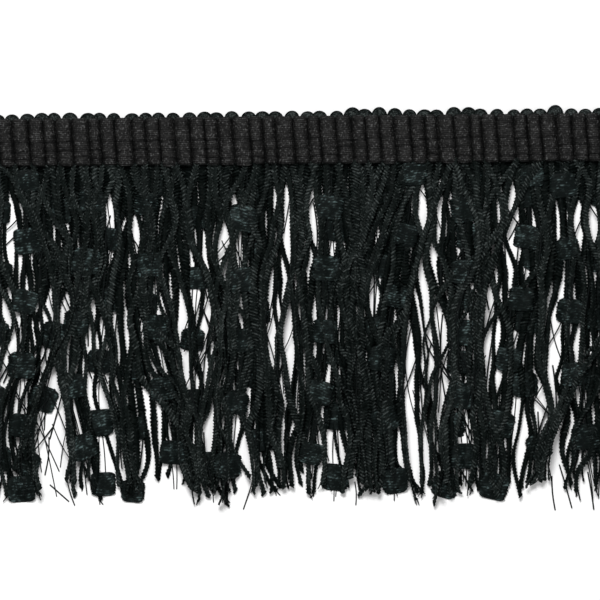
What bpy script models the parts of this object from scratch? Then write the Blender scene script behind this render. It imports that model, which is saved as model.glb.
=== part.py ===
"""A 170 mm cut of black fringe trim lying face up on its flat back.

A ribbed woven heading runs along X, with the weft's loops on its +Y edge. The fringe lies below its -Y
edge in two layers, each fused at its roots into a narrow strip. +Z points up, off the surface at z = 0.
The origin is the middle of the heading's back. Sizes and tables are in millimetres.
"""

import math
from collections import namedtuple

import bmesh
import bpy
import numpy as np
from mathutils import Vector

MM = 0.001

# Heading
TRIM_LENGTH = 170.0
HEADING_DEPTH = 12.7
RIB_COUNT = 44
CROWN_HEIGHT = 3.0
GROOVE_HEIGHT = 2.2
EDGE_HEIGHT = 2.5
LOOP_HEIGHT = 1.7
LOOP_REACH = 1.3
LOOP_NOTCH = 0.2
RIB_LEAN = math.radians(4)
LEAN_PIVOT = -3.0

# Cords: a three-sided section, narrower where the weft grips the root
CORD_WIDTH = 1.6
CORD_THICKNESS = 0.8
ROOT_NARROWING = 0.5
CORD_SPACING = 2.1
SETTLE_DROP = 5.0

# Flag yarns: woven tabs spaced along a fine carrier
TAB_WIDTH = 6.8
TAB_LENGTH = 6.6
TAB_THICKNESS = 0.3
TAB_PITCH = 16.4
TAB_TAPER = 0.5
CARRIER_WIDTH = 0.35
TAIL_LENGTH = 2.0

# Strips that the roots are fused into
STRIP_GAP = 0.3
STRIP_DEPTH = 1.6
STRIP_INSET = 0.4
ROOT_DROP = STRIP_GAP + 0.8
ROOT_LEVELS = 5
ROOT_LEVEL_STEP = 0.02

# Each layer's strands lie at `height` and leave the strip at `root_height`, `phase` of a pitch along.
# `freedom` is the share of its own sway that a strand follows.
Layer = namedtuple("Layer", "name node count height root_height phase freedom seed")
LAYERS = [
    Layer("back_cords", "fringe_back", 54, 0.0, 0.25, 0.25, 0.0, 11),
    Layer("low_flags", "fringe_back", 0, 0.9, 0.78, 0.5, 0.0, 12),
    Layer("middle_cords", "fringe_front", 54, 1.5, 1.6, 0.75, 0.0, 13),
    Layer("front_cords", "fringe_front", 52, 2.4, 2.1, 0.5, 1.0, 14),
    Layer("high_flags", "fringe_front", 0, 3.3, 2.6, 0.5, 0.0, 15),
    Layer("top_cords", "fringe_front", 40, 3.7, 3.0, 0.5, 1.0, 16),
]
Strip = namedtuple("Strip", "node bottom top")
STRIPS = [
    Strip("fringe_back", 0.0, 1.2),
    Strip("fringe_front", 1.5, 3.6),
]

# Loops of the weft that stand prouder than the rest: middle, extra reach, half width
ProudLoop = namedtuple("ProudLoop", "x rise spread")
PROUD_LOOPS = [
    ProudLoop(-62.0, 0.5, 2.5),
    ProudLoop(13.0, 0.9, 2.5),
    ProudLoop(21.0, 1.3, 4.0),
    ProudLoop(43.0, 1.0, 5.0),
    ProudLoop(69.0, 1.4, 2.5),
]

# Gaps where the cords part: middle, drop at both ends, width, and how far the lower end swings in x
Parting = namedtuple("Parting", "x top bottom width swing")
PARTINGS = [
    Parting(-76.0, 12, 24, 2.6, -1.5),
    Parting(-50.0, 11, 23, 1.8, 1.5),
    Parting(-43.6, 14, 23, 1.5, 0.0),
    Parting(-20.0, 14, 30, 3.6, -0.5),
    Parting(-16.0, 11, 29, 1.8, 0.0),
    Parting(-3.2, 7, 29, 1.8, 0.5),
    Parting(3.6, 8, 23, 2.4, 1.5),
    Parting(32.5, 5, 18, 2.4, 0.0),
    Parting(37.0, 5, 20, 2.0, 0.5),
    Parting(56.5, 7, 26, 3.2, 1.5),
    Parting(73.3, 10, 22, 2.2, 0.0),
    Parting(77.6, 10, 22, 2.4, 0.0),
    Parting(-66.5, 33, 56, 2.8, -2.5),
    Parting(-62.0, 32, 44, 2.8, -1.0),
    Parting(-77.0, 40, 58, 3.2, -1.5),
    Parting(-56.0, 42, 63, 2.4, -0.5),
    Parting(-52.0, 43, 63, 3.0, -1.0),
    Parting(-73.9, 58, 73, 2.8, -1.0),
    Parting(-68.6, 58, 80, 4.2, -1.5),
    Parting(-63.5, 56, 92, 5.0, 1.0),
    Parting(-48.0, 73, 98, 2.4, 0.0),
    Parting(-30.5, 36, 56, 2.4, 0.0),
    Parting(-24.3, 33, 63, 4.8, 0.0),
    Parting(-8.0, 33, 54, 2.2, 1.0),
    Parting(-3.0, 34, 57, 2.4, -0.5),
    Parting(-24.6, 58, 86, 3.0, -1.0),
    Parting(-14.5, 70, 104, 7.0, 0.0),
    Parting(-35.5, 76, 98, 3.0, 0.0),
    Parting(19.5, 29, 42, 2.2, 0.0),
    Parting(36.6, 38, 66, 4.8, 0.0),
    Parting(28.6, 40, 78, 2.8, -0.5),
    Parting(49.9, 31, 60, 3.4, -0.8),
    Parting(43.6, 64, 86, 3.4, 1.0),
    Parting(33.4, 69, 90, 2.4, 2.0),
    Parting(67.0, 35, 60, 3.4, -3.0),
    Parting(63.5, 57, 74, 3.6, 1.5),
    Parting(66.4, 74, 98, 3.6, 0.0),
    Parting(4.2, 68, 88, 3.0, 0.0),
]

# Stretches where the upper cords swing sideways together
Drift = namedtuple("Drift", "x top bottom shift reach")
DRIFTS = [
    Drift(52.0, 5, 45, -7.0, 7.0),
    Drift(72.0, 35, 62, -6.0, 7.0),
    Drift(-68.0, 30, 55, -3.0, 6.0),
    Drift(-36.0, 5, 30, 4.0, 6.0),
    Drift(6.0, 25, 60, 3.0, 6.0),
]

# Flag yarns: layer, x at four drops, and the drop of the first tab
Flag = namedtuple("Flag", "layer root upper lower end first")
FLAG_DROPS = (0, 28, 56, 88)
FLAGS = [
    Flag("low_flags", -79.5, -79.0, -81.0, -79.5, 12.0),
    Flag("high_flags", -71.5, -72.0, -73.9, -73.9, 3.7),
    Flag("low_flags", -64.0, -62.5, -66.3, -75.0, 11.7),
    Flag("high_flags", -53.0, -57.0, -61.0, -55.0, 9.0),
    Flag("low_flags", -50.0, -49.0, -54.5, -52.0, 3.5),
    Flag("high_flags", -41.0, -39.5, -36.3, -33.0, 10.3),
    Flag("low_flags", -38.0, -39.0, -44.5, -44.6, 4.6),
    Flag("low_flags", -26.0, -27.0, -30.0, -23.5, 13.8),
    Flag("high_flags", -14.0, -15.8, -15.8, -20.5, 14.2),
    Flag("low_flags", -9.0, -11.5, -11.0, -8.5, 6.0),
    Flag("high_flags", 9.0, 7.1, 5.4, 1.0, 11.6),
    Flag("low_flags", 9.0, 10.0, 9.5, 9.0, 0.9),
    Flag("high_flags", 31.2, 27.0, 20.5, 25.1, 2.9),
    Flag("low_flags", 22.4, 20.5, 21.0, 16.0, 10.8),
    Flag("low_flags", 45.0, 44.5, 41.0, 37.8, 3.3),
    Flag("high_flags", 44.0, 43.0, 41.8, 43.6, 12.5),
    Flag("high_flags", 62.0, 59.5, 54.0, 50.5, 3.7),
    Flag("low_flags", 61.0, 62.0, 58.0, 66.0, 9.1),
    Flag("high_flags", 69.5, 70.5, 71.5, 77.5, 6.3),
    Flag("low_flags", 79.5, 80.0, 79.0, 78.0, 9.0),
]

# Where the cords end: drop below the heading's lower edge, along x
HEM_X = (-85, -70, -64, -56, -43, -39, -27, -20, -14, -6, 0, 5, 18, 27, 37, 48, 56, 65, 72, 85)
HEM_DROP = (87, 87, 84, 87.5, 88, 84, 88, 89.5, 86, 87.5, 84.5, 87, 87, 87.5, 89, 86, 87.5, 85, 87, 86)
HEM_JITTER = 2.4

# Drops at which a cord turns, and the drop that it heads for from the last of them
CORD_TURNS = (SETTLE_DROP, 18.0, 34.0, 50.0, 66.0)
LAST_DROP = max(HEM_DROP) + HEM_JITTER

# Sway of the cords: slow waves that a whole layer follows, then each cord's own
Swell = namedtuple("Swell", "reach across down phase")
COMMON_SWELLS = [Swell(1.6, 72.0, 120.0, 0.6), Swell(0.8, 39.0, 75.0, 3.1)]
FREE_SWELLS = [Swell(3.0, 52.0, 85.0, 0.0), Swell(1.5, 28.0, 50.0, 0.0)]
FREE_DROP = 28.0
SCATTER = 0.3
SWAY_LEAN = 0.025
SWAY_REACH = 0.8
SWAY_WAVE = (45.0, 85.0)
CLUMP_PITCH = 12.5
CLUMP_PULL = 1.9
CLUMP_PHASE = 2.0
CLUMP_DROP = (15.0, 85.0)
STIFF_DRIFT = 0.35


def clear_scene():
    for item in list(bpy.data.objects):
        bpy.data.objects.remove(item, do_unlink=True)


def make_collection(name):
    found = bpy.data.collections.new(name)
    bpy.context.scene.collection.children.link(found)
    return found


def make_material(name, color, roughness):
    material = bpy.data.materials.new(name)
    material.use_nodes = True
    shader = material.node_tree.nodes["Principled BSDF"]
    shader.inputs["Base Color"].default_value = (*color, 1.0)
    shader.inputs["Roughness"].default_value = roughness
    shader.inputs["Metallic"].default_value = 0.0
    return material


def make_object(name, mesh, collection, material=None):
    item = bpy.data.objects.new(name, mesh)
    collection.objects.link(item)
    if material:
        mesh.materials.append(material)
    return item


def make_operand(name, mesh, collection):
    item = make_object(name, mesh, collection)
    item.hide_render = True
    item.display_type = "WIRE"
    return item


def mesh_from_bmesh(name, bm):
    bmesh.ops.recalc_face_normals(bm, faces=bm.faces)
    mesh = bpy.data.meshes.new(name)
    bm.to_mesh(mesh)
    bm.free()
    return mesh


# Heading


def loop_reach(x):
    """How far the weft's loop at x stands past the heading's upper edge."""
    reach = LOOP_REACH
    for loop in PROUD_LOOPS:
        reach += loop.rise * max(0.0, 1 - ((x - loop.x) / loop.spread) ** 2)
    return reach


def heading_rows():
    """Rows across the heading, from its loops to its lower edge: y, height over a groove and a crown."""
    half = HEADING_DEPTH / 2
    return [
        (half, LOOP_HEIGHT - 0.4, LOOP_HEIGHT),
        (half - 0.3, GROOVE_HEIGHT - 0.3, EDGE_HEIGHT),
        (half - 1.8, GROOVE_HEIGHT, CROWN_HEIGHT),
        (1.6 - half, GROOVE_HEIGHT, CROWN_HEIGHT),
        (-half, GROOVE_HEIGHT - 0.2, EDGE_HEIGHT),
    ]


def make_heading(collection, material):
    rows = heading_rows()
    columns = 4 * RIB_COUNT
    rib_pitch = TRIM_LENGTH / RIB_COUNT
    bm = bmesh.new()
    bmesh.ops.create_grid(bm, x_segments=columns, y_segments=len(rows) - 1, size=0.5)
    for vert in bm.verts:
        column = round((vert.co.x + 0.5) * columns)
        row = round((0.5 - vert.co.y) * (len(rows) - 1))
        y, groove, crown = rows[row]
        x = column * rib_pitch / 4 - TRIM_LENGTH / 2
        swell = (0.0, 0.75, 1.0, 0.75)[column % 4]
        if row == 0:
            y += LOOP_NOTCH + (loop_reach(x) - LOOP_NOTCH) * swell
        lean = (LEAN_PIVOT - y) * math.tan(RIB_LEAN)
        vert.co = Vector((x + lean, y, groove + (crown - groove) * swell)) * MM
    top_faces = list(bm.faces)
    region = bmesh.ops.extrude_face_region(bm, geom=top_faces)["geom"]
    lowered = [part for part in region if isinstance(part, bmesh.types.BMVert)]
    for vert in lowered:
        vert.co.z = 0.0
    back_faces = [part for part in region if isinstance(part, bmesh.types.BMFace)]
    bmesh.ops.recalc_face_normals(bm, faces=bm.faces)
    bmesh.ops.dissolve_faces(bm, faces=back_faces)
    return make_object("heading", mesh_from_bmesh("heading", bm), collection, material)


# Routes of the strands


def rising_order(values):
    """The nearest rising sequence to values, by pooling neighbours that are out of order."""
    pools = []
    for value in values:
        pools.append([value, 1])
        while len(pools) > 1 and pools[-2][0] > pools[-1][0]:
            high, high_count = pools.pop()
            low, low_count = pools.pop()
            count = low_count + high_count
            pools.append([(low * low_count + high * high_count) / count, count])
    return np.concatenate([np.full(count, mean) for mean, count in pools])


def smooth_step(value):
    value = np.clip(value, 0.0, 1.0)
    return value * value * (3 - 2 * value)


def drifted(x, drop, strength):
    """Where a strand at x is carried by the drifts that it has passed at this drop."""
    moved = np.array(x, dtype=float)
    for drift in DRIFTS:
        nearness = np.clip(1 - np.abs(x - drift.x) / drift.reach, 0.0, 1.0)
        done = smooth_step((drop - drift.top) / (drift.bottom - drift.top))
        moved += strength * drift.shift * smooth_step(nearness) * done
    return moved


def swell_shift(swells, x, drop, turn):
    """How far a row of slow waves carries strands at x."""
    moved = np.zeros(len(x))
    for swell in swells:
        angle = 2 * math.pi * (x / swell.across + drop / swell.down) + swell.phase + turn
        moved += swell.reach * np.sin(angle)
    return moved * smooth_step(drop / FREE_DROP)


class Bundle:
    """One layer of cords, kept in order and apart at every drop, and opened where it parts."""

    def __init__(self, layer, spacing, width):
        random = np.random.default_rng(layer.seed)
        pitch = (TRIM_LENGTH - width) / layer.count
        scatter = layer.freedom * random.uniform(-SCATTER, SCATTER, layer.count)
        self.root = (np.arange(layer.count) + layer.phase + scatter) * pitch
        self.root -= (TRIM_LENGTH - width) / 2
        self.freedom = layer.freedom
        self.lean = random.normal(0.0, SWAY_LEAN, layer.count)
        self.sway = SWAY_REACH * random.uniform(0.3, 1.0, layer.count)
        self.wave = random.uniform(*SWAY_WAVE, layer.count)
        self.phase = random.uniform(0, 2 * math.pi, layer.count)
        self.turn = random.uniform(0, 2 * math.pi)
        self.end_jitter = random.uniform(-HEM_JITTER, HEM_JITTER, layer.count)
        self.width = width
        self.offsets = spacing * np.arange(layer.count)
        self.cuts = [int(np.sum(self.natural((p.top + p.bottom) / 2) < p.x)) for p in PARTINGS]

    def natural(self, drop):
        """Where the strands would lie at this drop if nothing kept them in order or apart."""
        own = self.lean * drop + self.sway * np.sin(2 * math.pi * drop / self.wave + self.phase)
        own = own * smooth_step(drop / FREE_DROP)
        own = own + swell_shift(FREE_SWELLS, self.root, drop, self.turn)
        x = self.root + swell_shift(COMMON_SWELLS, self.root, drop, 0.0) + self.freedom * own
        pull = CLUMP_PULL * smooth_step((drop - CLUMP_DROP[0]) / (CLUMP_DROP[1] - CLUMP_DROP[0]))
        x = x + pull * np.sin(2 * math.pi * x / CLUMP_PITCH + CLUMP_PHASE)
        return drifted(x, drop, max(self.freedom, STIFF_DRIFT))

    def places(self, drop):
        """Each strand's x at this drop."""
        slack = rising_order(self.natural(drop) - self.offsets)
        for parting, cut in zip(PARTINGS, self.cuts):
            middle = (parting.top + parting.bottom) / 2
            offset = (drop - middle) / ((parting.bottom - parting.top) / 2)
            half = (parting.width * (1 - offset * offset) + self.width) / 2
            centre = parting.x + parting.swing * offset / 2
            left, right = slack[:cut], slack[cut:]
            if cut > 0:
                np.minimum(left, centre - half - self.offsets[cut - 1], out=left)
            if cut < len(slack):
                np.maximum(right, centre + half - self.offsets[cut], out=right)
        limit = (TRIM_LENGTH - self.width) / 2
        return np.clip(slack, -limit, limit - self.offsets[-1]) + self.offsets


def hem_drop(x):
    return np.interp(x, HEM_X, HEM_DROP)


def settled_share(drop):
    return float(np.clip((drop - ROOT_DROP) / (SETTLE_DROP - ROOT_DROP), 0.0, 1.0))


def strand_height(layer, strand, drop):
    """The underside of a strand: neighbours' roots differ a little in height, and all lie level."""
    root = layer.root_height + ROOT_LEVEL_STEP * (2 * strand % ROOT_LEVELS)
    return root + (layer.height - root) * settled_share(drop)


def at_drop(x, drop, z):
    """The point in the trim's frame that lies this far below the heading's lower edge."""
    return Vector((x, -HEADING_DEPTH / 2 - drop, z))


# Cords


def make_profile(collection):
    """The cord's section: flat side down, crown up, as a closed flat curve."""
    curve = bpy.data.curves.new("cord_section", "CURVE")
    curve.dimensions = "2D"
    corners = [(-CORD_WIDTH / 2, 0.0), (CORD_WIDTH / 2, 0.0), (0.0, CORD_THICKNESS)]
    spline = curve.splines.new("POLY")
    spline.points.add(len(corners) - 1)
    for point, (x, y) in zip(spline.points, corners):
        point.co = (x * MM, y * MM, 0.0, 1.0)
    spline.use_cyclic_u = True
    return make_operand("cord_section", curve, collection)


def cord_paths(layer):
    """Each cord's points from its root to its cut end, with the share of its full section there."""
    bundle = Bundle(layer, CORD_SPACING, CORD_WIDTH)
    last = bundle.places(LAST_DROP)
    ends = hem_drop(last) + bundle.end_jitter
    drops = [ROOT_DROP, *CORD_TURNS]
    rows = [bundle.places(drop) for drop in drops]
    for strand in range(layer.count):
        path = []
        for drop, row in zip(drops, rows):
            share = ROOT_NARROWING + (1 - ROOT_NARROWING) * settled_share(drop)
            path.append((at_drop(row[strand], drop, strand_height(layer, strand, drop)), share))
        end_share = (ends[strand] - drops[-1]) / (LAST_DROP - drops[-1])
        end_x = rows[-1][strand] + (last[strand] - rows[-1][strand]) * end_share
        path.append((at_drop(end_x, ends[strand], layer.height), 1.0))
        yield path


def make_cords(layer, profile, collection):
    curve = bpy.data.curves.new(layer.name, "CURVE")
    curve.dimensions = "3D"
    curve.twist_mode = "Z_UP"
    curve.bevel_mode = "OBJECT"
    curve.bevel_object = profile
    curve.use_fill_caps = True
    for path in cord_paths(layer):
        spline = curve.splines.new("POLY")
        spline.points.add(len(path) - 1)
        for point, (place, share) in zip(spline.points, path):
            point.co = (*(place * MM), 1.0)
            point.radius = share
    return curve_to_operand(layer.name, curve, collection)


def curve_to_operand(name, curve, collection):
    item = make_object(name, curve, collection)
    graph = bpy.context.evaluated_depsgraph_get()
    mesh = bpy.data.meshes.new_from_object(item.evaluated_get(graph))
    matrix = item.matrix_world.copy()
    bpy.data.objects.remove(item, do_unlink=True)
    bm = bmesh.new()
    bm.from_mesh(mesh)
    bmesh.ops.remove_doubles(bm, verts=bm.verts, dist=0.001 * MM)
    solid = make_operand(name + "_solid", mesh_from_bmesh(name, bm), collection)
    solid.matrix_world = matrix
    return solid


# Flag yarns


def flag_sections(flag):
    """Sections down a flag yarn as (drop, width): the carrier, widening at each tab."""
    end = hem_drop(flag.end) + TAIL_LENGTH
    drops, widths = [ROOT_DROP], [CARRIER_WIDTH]
    middle = flag.first
    while middle + TAB_LENGTH / 2 + TAB_TAPER < end:
        top, bottom = middle - TAB_LENGTH / 2, middle + TAB_LENGTH / 2
        if top - TAB_TAPER > STRIP_GAP + STRIP_DEPTH:
            drops += [top - TAB_TAPER, top, bottom, bottom + TAB_TAPER]
            widths += [CARRIER_WIDTH, TAB_WIDTH, TAB_WIDTH, CARRIER_WIDTH]
        middle += TAB_PITCH
    drops.append(end)
    widths.append(CARRIER_WIDTH)
    all_drops = sorted([*drops, SETTLE_DROP])
    return [(drop, float(np.interp(drop, drops, widths))) for drop in all_drops]


def add_loft(bm, rings):
    """A closed skin through rings of four points each."""
    loops = [[bm.verts.new(point * MM) for point in ring] for ring in rings]
    for upper, lower in zip(loops, loops[1:]):
        for side in range(4):
            after = (side + 1) % 4
            bm.faces.new((upper[side], upper[after], lower[after], lower[side]))
    bm.faces.new(loops[0][::-1])
    bm.faces.new(loops[-1])


def make_flags(layer, collection):
    bm = bmesh.new()
    own_flags = [flag for flag in FLAGS if flag.layer == layer.name]
    for strand, flag in enumerate(own_flags):
        turns = (flag.root, flag.upper, flag.lower, flag.end)
        rings = []
        for drop, width in flag_sections(flag):
            x = float(np.interp(drop, FLAG_DROPS, turns))
            bottom = strand_height(layer, strand, drop)
            corners = [(-1, 0), (1, 0), (1, 1), (-1, 1)]
            rings.append(
                [
                    at_drop(x + side * width / 2, drop, bottom + level * TAB_THICKNESS)
                    for side, level in corners
                ]
            )
        add_loft(bm, rings)
    return make_operand(layer.name + "_solid", mesh_from_bmesh(layer.name, bm), collection)


# Fringe nodes


def make_strip(strip, collection, material):
    length = TRIM_LENGTH - 2 * STRIP_INSET
    bm = bmesh.new()
    bmesh.ops.create_cube(bm, size=1.0)
    for vert in bm.verts:
        x = vert.co.x * length
        y = -HEADING_DEPTH / 2 - STRIP_GAP - STRIP_DEPTH * (0.5 - vert.co.y)
        z = strip.bottom + (strip.top - strip.bottom) * (vert.co.z + 0.5)
        vert.co = Vector((x, y, z)) * MM
    return make_object(strip.node, mesh_from_bmesh(strip.node, bm), collection, material)


def make_fringe(strip, profile, parts, operands, material):
    """A strip with every strand of its layers fused to it at the root."""
    item = make_strip(strip, parts, material)
    for layer in LAYERS:
        if layer.node != strip.node:
            continue
        if layer.count:
            strands = make_cords(layer, profile, operands)
        else:
            strands = make_flags(layer, operands)
        union = item.modifiers.new(layer.name, "BOOLEAN")
        union.operation = "UNION"
        union.solver = "EXACT"
        union.object = strands
    return item


def main():
    clear_scene()
    parts = make_collection("fringe_trim")
    operands = make_collection("operands")
    heading_yarn = make_material("heading_yarn", (0.016, 0.015, 0.014), 0.75)
    back_yarn = make_material("back_fringe_yarn", (0.010, 0.013, 0.013), 0.5)
    front_yarn = make_material("front_fringe_yarn", (0.012, 0.016, 0.016), 0.45)
    make_heading(parts, heading_yarn)
    profile = make_profile(operands)
    make_fringe(STRIPS[0], profile, parts, operands, back_yarn)
    make_fringe(STRIPS[1], profile, parts, operands, front_yarn)


main()
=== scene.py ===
"""Black fringe trim lying face up on a pale floor, seen from straight above.

The CAD nodes are replaced by a fine mesh of the woven heading, the weft's loops, every chainette cord,
the flag yarns with their woven tabs, loose threads and frayed ends. Sizes are in millimetres, a drop
is a distance below the heading's lower edge, and a pair of numbers is the range of a random draw.
"""

import math
from collections import namedtuple

import bpy
import numpy as np
from mathutils import Euler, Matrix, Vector


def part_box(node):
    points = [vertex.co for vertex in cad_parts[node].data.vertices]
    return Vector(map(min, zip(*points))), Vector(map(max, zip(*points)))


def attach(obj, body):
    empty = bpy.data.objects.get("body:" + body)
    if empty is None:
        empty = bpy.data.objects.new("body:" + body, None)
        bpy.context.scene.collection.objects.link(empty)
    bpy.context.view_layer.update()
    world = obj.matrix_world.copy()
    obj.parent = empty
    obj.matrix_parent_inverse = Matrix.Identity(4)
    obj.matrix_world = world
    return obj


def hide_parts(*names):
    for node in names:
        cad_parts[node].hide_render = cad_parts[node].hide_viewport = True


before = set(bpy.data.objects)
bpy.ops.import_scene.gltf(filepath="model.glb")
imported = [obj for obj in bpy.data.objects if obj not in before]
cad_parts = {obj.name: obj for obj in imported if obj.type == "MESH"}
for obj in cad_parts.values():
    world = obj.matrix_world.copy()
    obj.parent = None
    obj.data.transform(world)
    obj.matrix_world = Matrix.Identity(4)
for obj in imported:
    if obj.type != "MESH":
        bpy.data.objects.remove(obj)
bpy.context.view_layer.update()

MM = 0.001


def table(kind, *rows):
    """A table of rows with named columns."""
    return [kind(*row) for row in rows]


strip_low, strip_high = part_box("fringe_back")

# Sizes that the CAD model shares
STRIP_INSET = 0.4
TRIM_LENGTH = (strip_high[0] - strip_low[0]) / MM + 2 * STRIP_INSET
HEADING_DEPTH = 12.7
HEADING_BOTTOM = -HEADING_DEPTH / 2
RIB_COUNT = 44
RIB_PITCH = TRIM_LENGTH / RIB_COUNT
CROWN_HEIGHT = 3.0
GROOVE_HEIGHT = 1.5
CORD_WIDTH = 1.6
CORD_THICKNESS = 0.8
CORD_SPACING = 2.1
CORD_LIMIT = (TRIM_LENGTH - CORD_WIDTH) / 2
TAB_WIDTH = 6.8
TAB_LENGTH = 6.6
TAB_PITCH = 16.4
TAIL_LENGTH = 2.0

# Each layer of strands, from the floor up. A layer's phase shifts its cords along the trim. Freedom says
# if they go their own way, stray how far they leave their routes, slant which way all of them lean,
# level how high they leave the heading, and the last column the range of their tones: random within it,
# and darker in the lower layers, which is painted shade under the layers above. Flag yarns need none.
Layer = namedtuple(
    "Layer",
    "name node seed count phase freedom stray slant level tones",
    defaults=(0, 0.0, 0.0, 0.0, 0.0, 0.0, (0.0, 1.0)),
)
LAYERS = table(
    Layer,
    ("back_cords", "fringe_back", 11, 54, 0.25, 0.0, 0.45, 1.0, 0.3, (0.0, 0.3)),
    ("low_flags", "fringe_back", 12),
    ("middle_cords", "fringe_front", 13, 54, 0.75, 0.0, 0.7, -1.0, 0.9, (0.15, 0.5)),
    ("front_cords", "fringe_front", 14, 52, 0.5, 1.0, 1.7, 0.0, 1.5, (0.6, 1.0)),
    ("high_flags", "fringe_front", 15),
    ("top_cords", "fringe_front", 16, 40, 0.5, 1.0, 2.3, 0.0, 2.0, (0.75, 1.0)),
    ("upper_flags", "fringe_front", 17),
)

# Loops of the weft that stand prouder than the rest: middle, extra reach, half width
ProudLoop = namedtuple("ProudLoop", "x rise spread")
PROUD_LOOPS = table(
    ProudLoop,
    (-62, 0.4, 2.5), (13.5, 0.7, 3.5), (22, 0.9, 6), (43, 0.7, 6), (69, 1.2, 2.5),
)


class Parting(namedtuple("Parting", "x top bottom width swing")):
    """A gap where the cords part: middle, drop at both ends, width, how far its lower end swings."""

    @property
    def middle(self):
        return (self.top + self.bottom) / 2

    def shape(self, drop, share):
        """Its middle in x at this drop, and how far from there the cords lie that keep clear of it."""
        offset = (drop - self.middle) / ((self.bottom - self.top) / 2)
        half = (share * self.width * (1 - offset * offset) + CORD_WIDTH) / 2
        return self.x + self.swing * offset / 2, half


PARTINGS = table(
    Parting,
    (-76, 12, 24, 2.6, -1.5), (-50, 11, 23, 1.8, 1.5), (-43.6, 14, 23, 1.5, 0),
    (-20, 14, 30, 3.6, -0.5), (-16, 11, 29, 1.8, 0), (-3.2, 7, 29, 1.8, 0.5), (3.6, 8, 23, 2.4, 1.5),
    (32.5, 5, 18, 2.4, 0), (37, 5, 20, 2, 0.5), (56.5, 7, 26, 3.2, 1.5), (73.3, 10, 22, 2.2, 0),
    (77.6, 10, 22, 2.4, 0), (-66.5, 33, 56, 2.8, -2.5), (-62, 32, 44, 2.8, -1),
    (-77, 40, 58, 3.2, -1.5), (-56, 42, 63, 2.4, -0.5), (-52, 43, 63, 3, -1), (-73.9, 58, 73, 2.8, -1),
    (-68.6, 58, 80, 4.2, -1.5), (-63.5, 56, 92, 5, 1), (-48, 73, 98, 2.4, 0), (-30.5, 36, 56, 2.4, 0),
    (-24.3, 33, 63, 4.8, 0), (-8, 33, 54, 2.2, 1), (-3, 34, 57, 2.4, -0.5), (-24.6, 58, 86, 3, -1),
    (-14.5, 70, 104, 7, 0), (-35.5, 76, 98, 3, 0), (19.5, 29, 42, 2.2, 0), (36.6, 38, 66, 4.8, 0),
    (28.6, 40, 78, 2.8, -0.5), (49.9, 31, 60, 3.4, -0.8), (43.6, 64, 86, 3.4, 1),
    (33.4, 69, 90, 2.4, 2), (67, 35, 60, 3.4, -3), (63.5, 57, 74, 3.6, 1.5), (66.4, 74, 98, 3.6, 0),
    (4.2, 68, 88, 3, 0),
)

# Wider gaps around some of them, which only a few cords cross
WIDE_PARTINGS = table(
    Parting,
    (-66.5, 54, 98, 8.8, 2), (-74, 55, 75, 4.4, -1), (-24, 31, 62, 6.8, 0), (37, 36, 67, 6.6, 0.5),
)

# Stretches where the upper cords swing sideways together
Drift = namedtuple("Drift", "x top bottom shift reach")
DRIFTS = table(
    Drift,
    (52, 5, 45, -7, 7), (72, 35, 62, -6, 7), (-68, 30, 55, -3, 6), (-36, 5, 30, 4, 6),
    (6, 25, 60, 3, 6),
)

# Places where part of the upper cords lean far across the others: middle at the top of the lean
Lean = namedtuple("Lean", "x top bottom shift reach")
LEANS = table(
    Lean,
    (66, 18, 46, -20, 8), (79, 42, 64, -15, 7), (56, 3, 34, -13, 9), (42, 22, 50, -9, 7),
    (24, 2, 35, -7, 9), (-2, 38, 62, 8, 6), (-30, 36, 60, -7, 6), (-66, 12, 40, 6, 6),
    (-12, 0, 20, -7, 6), (-42, 0, 18, 5, 5), (-75, 0, 14, 5, 4), (-50, 30, 66, -8, 6),
    (10, 40, 78, 9, 6),
)
LEAN_SHARE = 0.6

# Patches where the cords are fuller than elsewhere: middle, reach across and down, share added
Patch = namedtuple("Patch", "x drop across down share")
PATCHES = table(
    Patch,
    (-40, 58, 8, 24, 0.2), (-7, 52, 9, 28, 0.22), (8, 68, 8, 15, 0.15), (24, 56, 8, 26, 0.26),
    (55, 50, 8, 18, 0.24), (73, 73, 9, 12, 0.26),
)

# Flag yarns: layer, x at four drops, and the drop of the first tab
Flag = namedtuple("Flag", "layer root upper lower end first")
FLAG_DROPS = (0, 28, 56, 88)
FLAGS = table(
    Flag,
    ("low_flags", -79.5, -79, -81, -79.5, 12),
    ("upper_flags", -71.5, -72, -73.9, -73.9, 3.7),
    ("low_flags", -64, -62.5, -66.3, -75, 11.7),
    ("high_flags", -53, -57, -61, -55, 9),
    ("low_flags", -50, -49, -54.5, -52, 3.5),
    ("upper_flags", -41, -39.5, -36.3, -33, 10.3),
    ("low_flags", -38, -39, -44.5, -44.6, 4.6),
    ("low_flags", -26, -27, -30, -23.5, 13.8),
    ("upper_flags", -14, -15.8, -15.8, -20.5, 14.2),
    ("low_flags", -9, -11.5, -11, -8.5, 6),
    ("upper_flags", 9, 7.1, 5.4, 1, 11.6),
    ("low_flags", 9, 10, 9.5, 9, 0.9),
    ("upper_flags", 31.2, 27, 20.5, 25.1, 2.9),
    ("low_flags", 22.4, 20.5, 21, 16, 10.8),
    ("low_flags", 45, 44.5, 41, 37.8, 3.3),
    ("high_flags", 44, 43, 41.8, 43.6, 12.5),
    ("high_flags", 62, 59.5, 54, 50.5, 3.7),
    ("low_flags", 61, 62, 58, 66, 9.1),
    ("upper_flags", 69.5, 70.5, 71.5, 77.5, 6.3),
    ("low_flags", 79.5, 80, 79, 78, 9),
)

# Where the cords end: drop below the heading's lower edge, along x
HEM_X = (-85, -70, -64, -56, -43, -39, -27, -20, -14, -6, 0, 5, 18, 27, 37, 48, 56, 65, 72, 85)
HEM_DROP = (87, 87, 84, 87.5, 88, 84, 88, 89.5, 86, 87.5, 84.5, 87, 87, 87.5, 89, 86, 87.5, 85, 87, 86)
HEM_JITTER = 2.4
LAST_DROP = max(HEM_DROP) + HEM_JITTER

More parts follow.
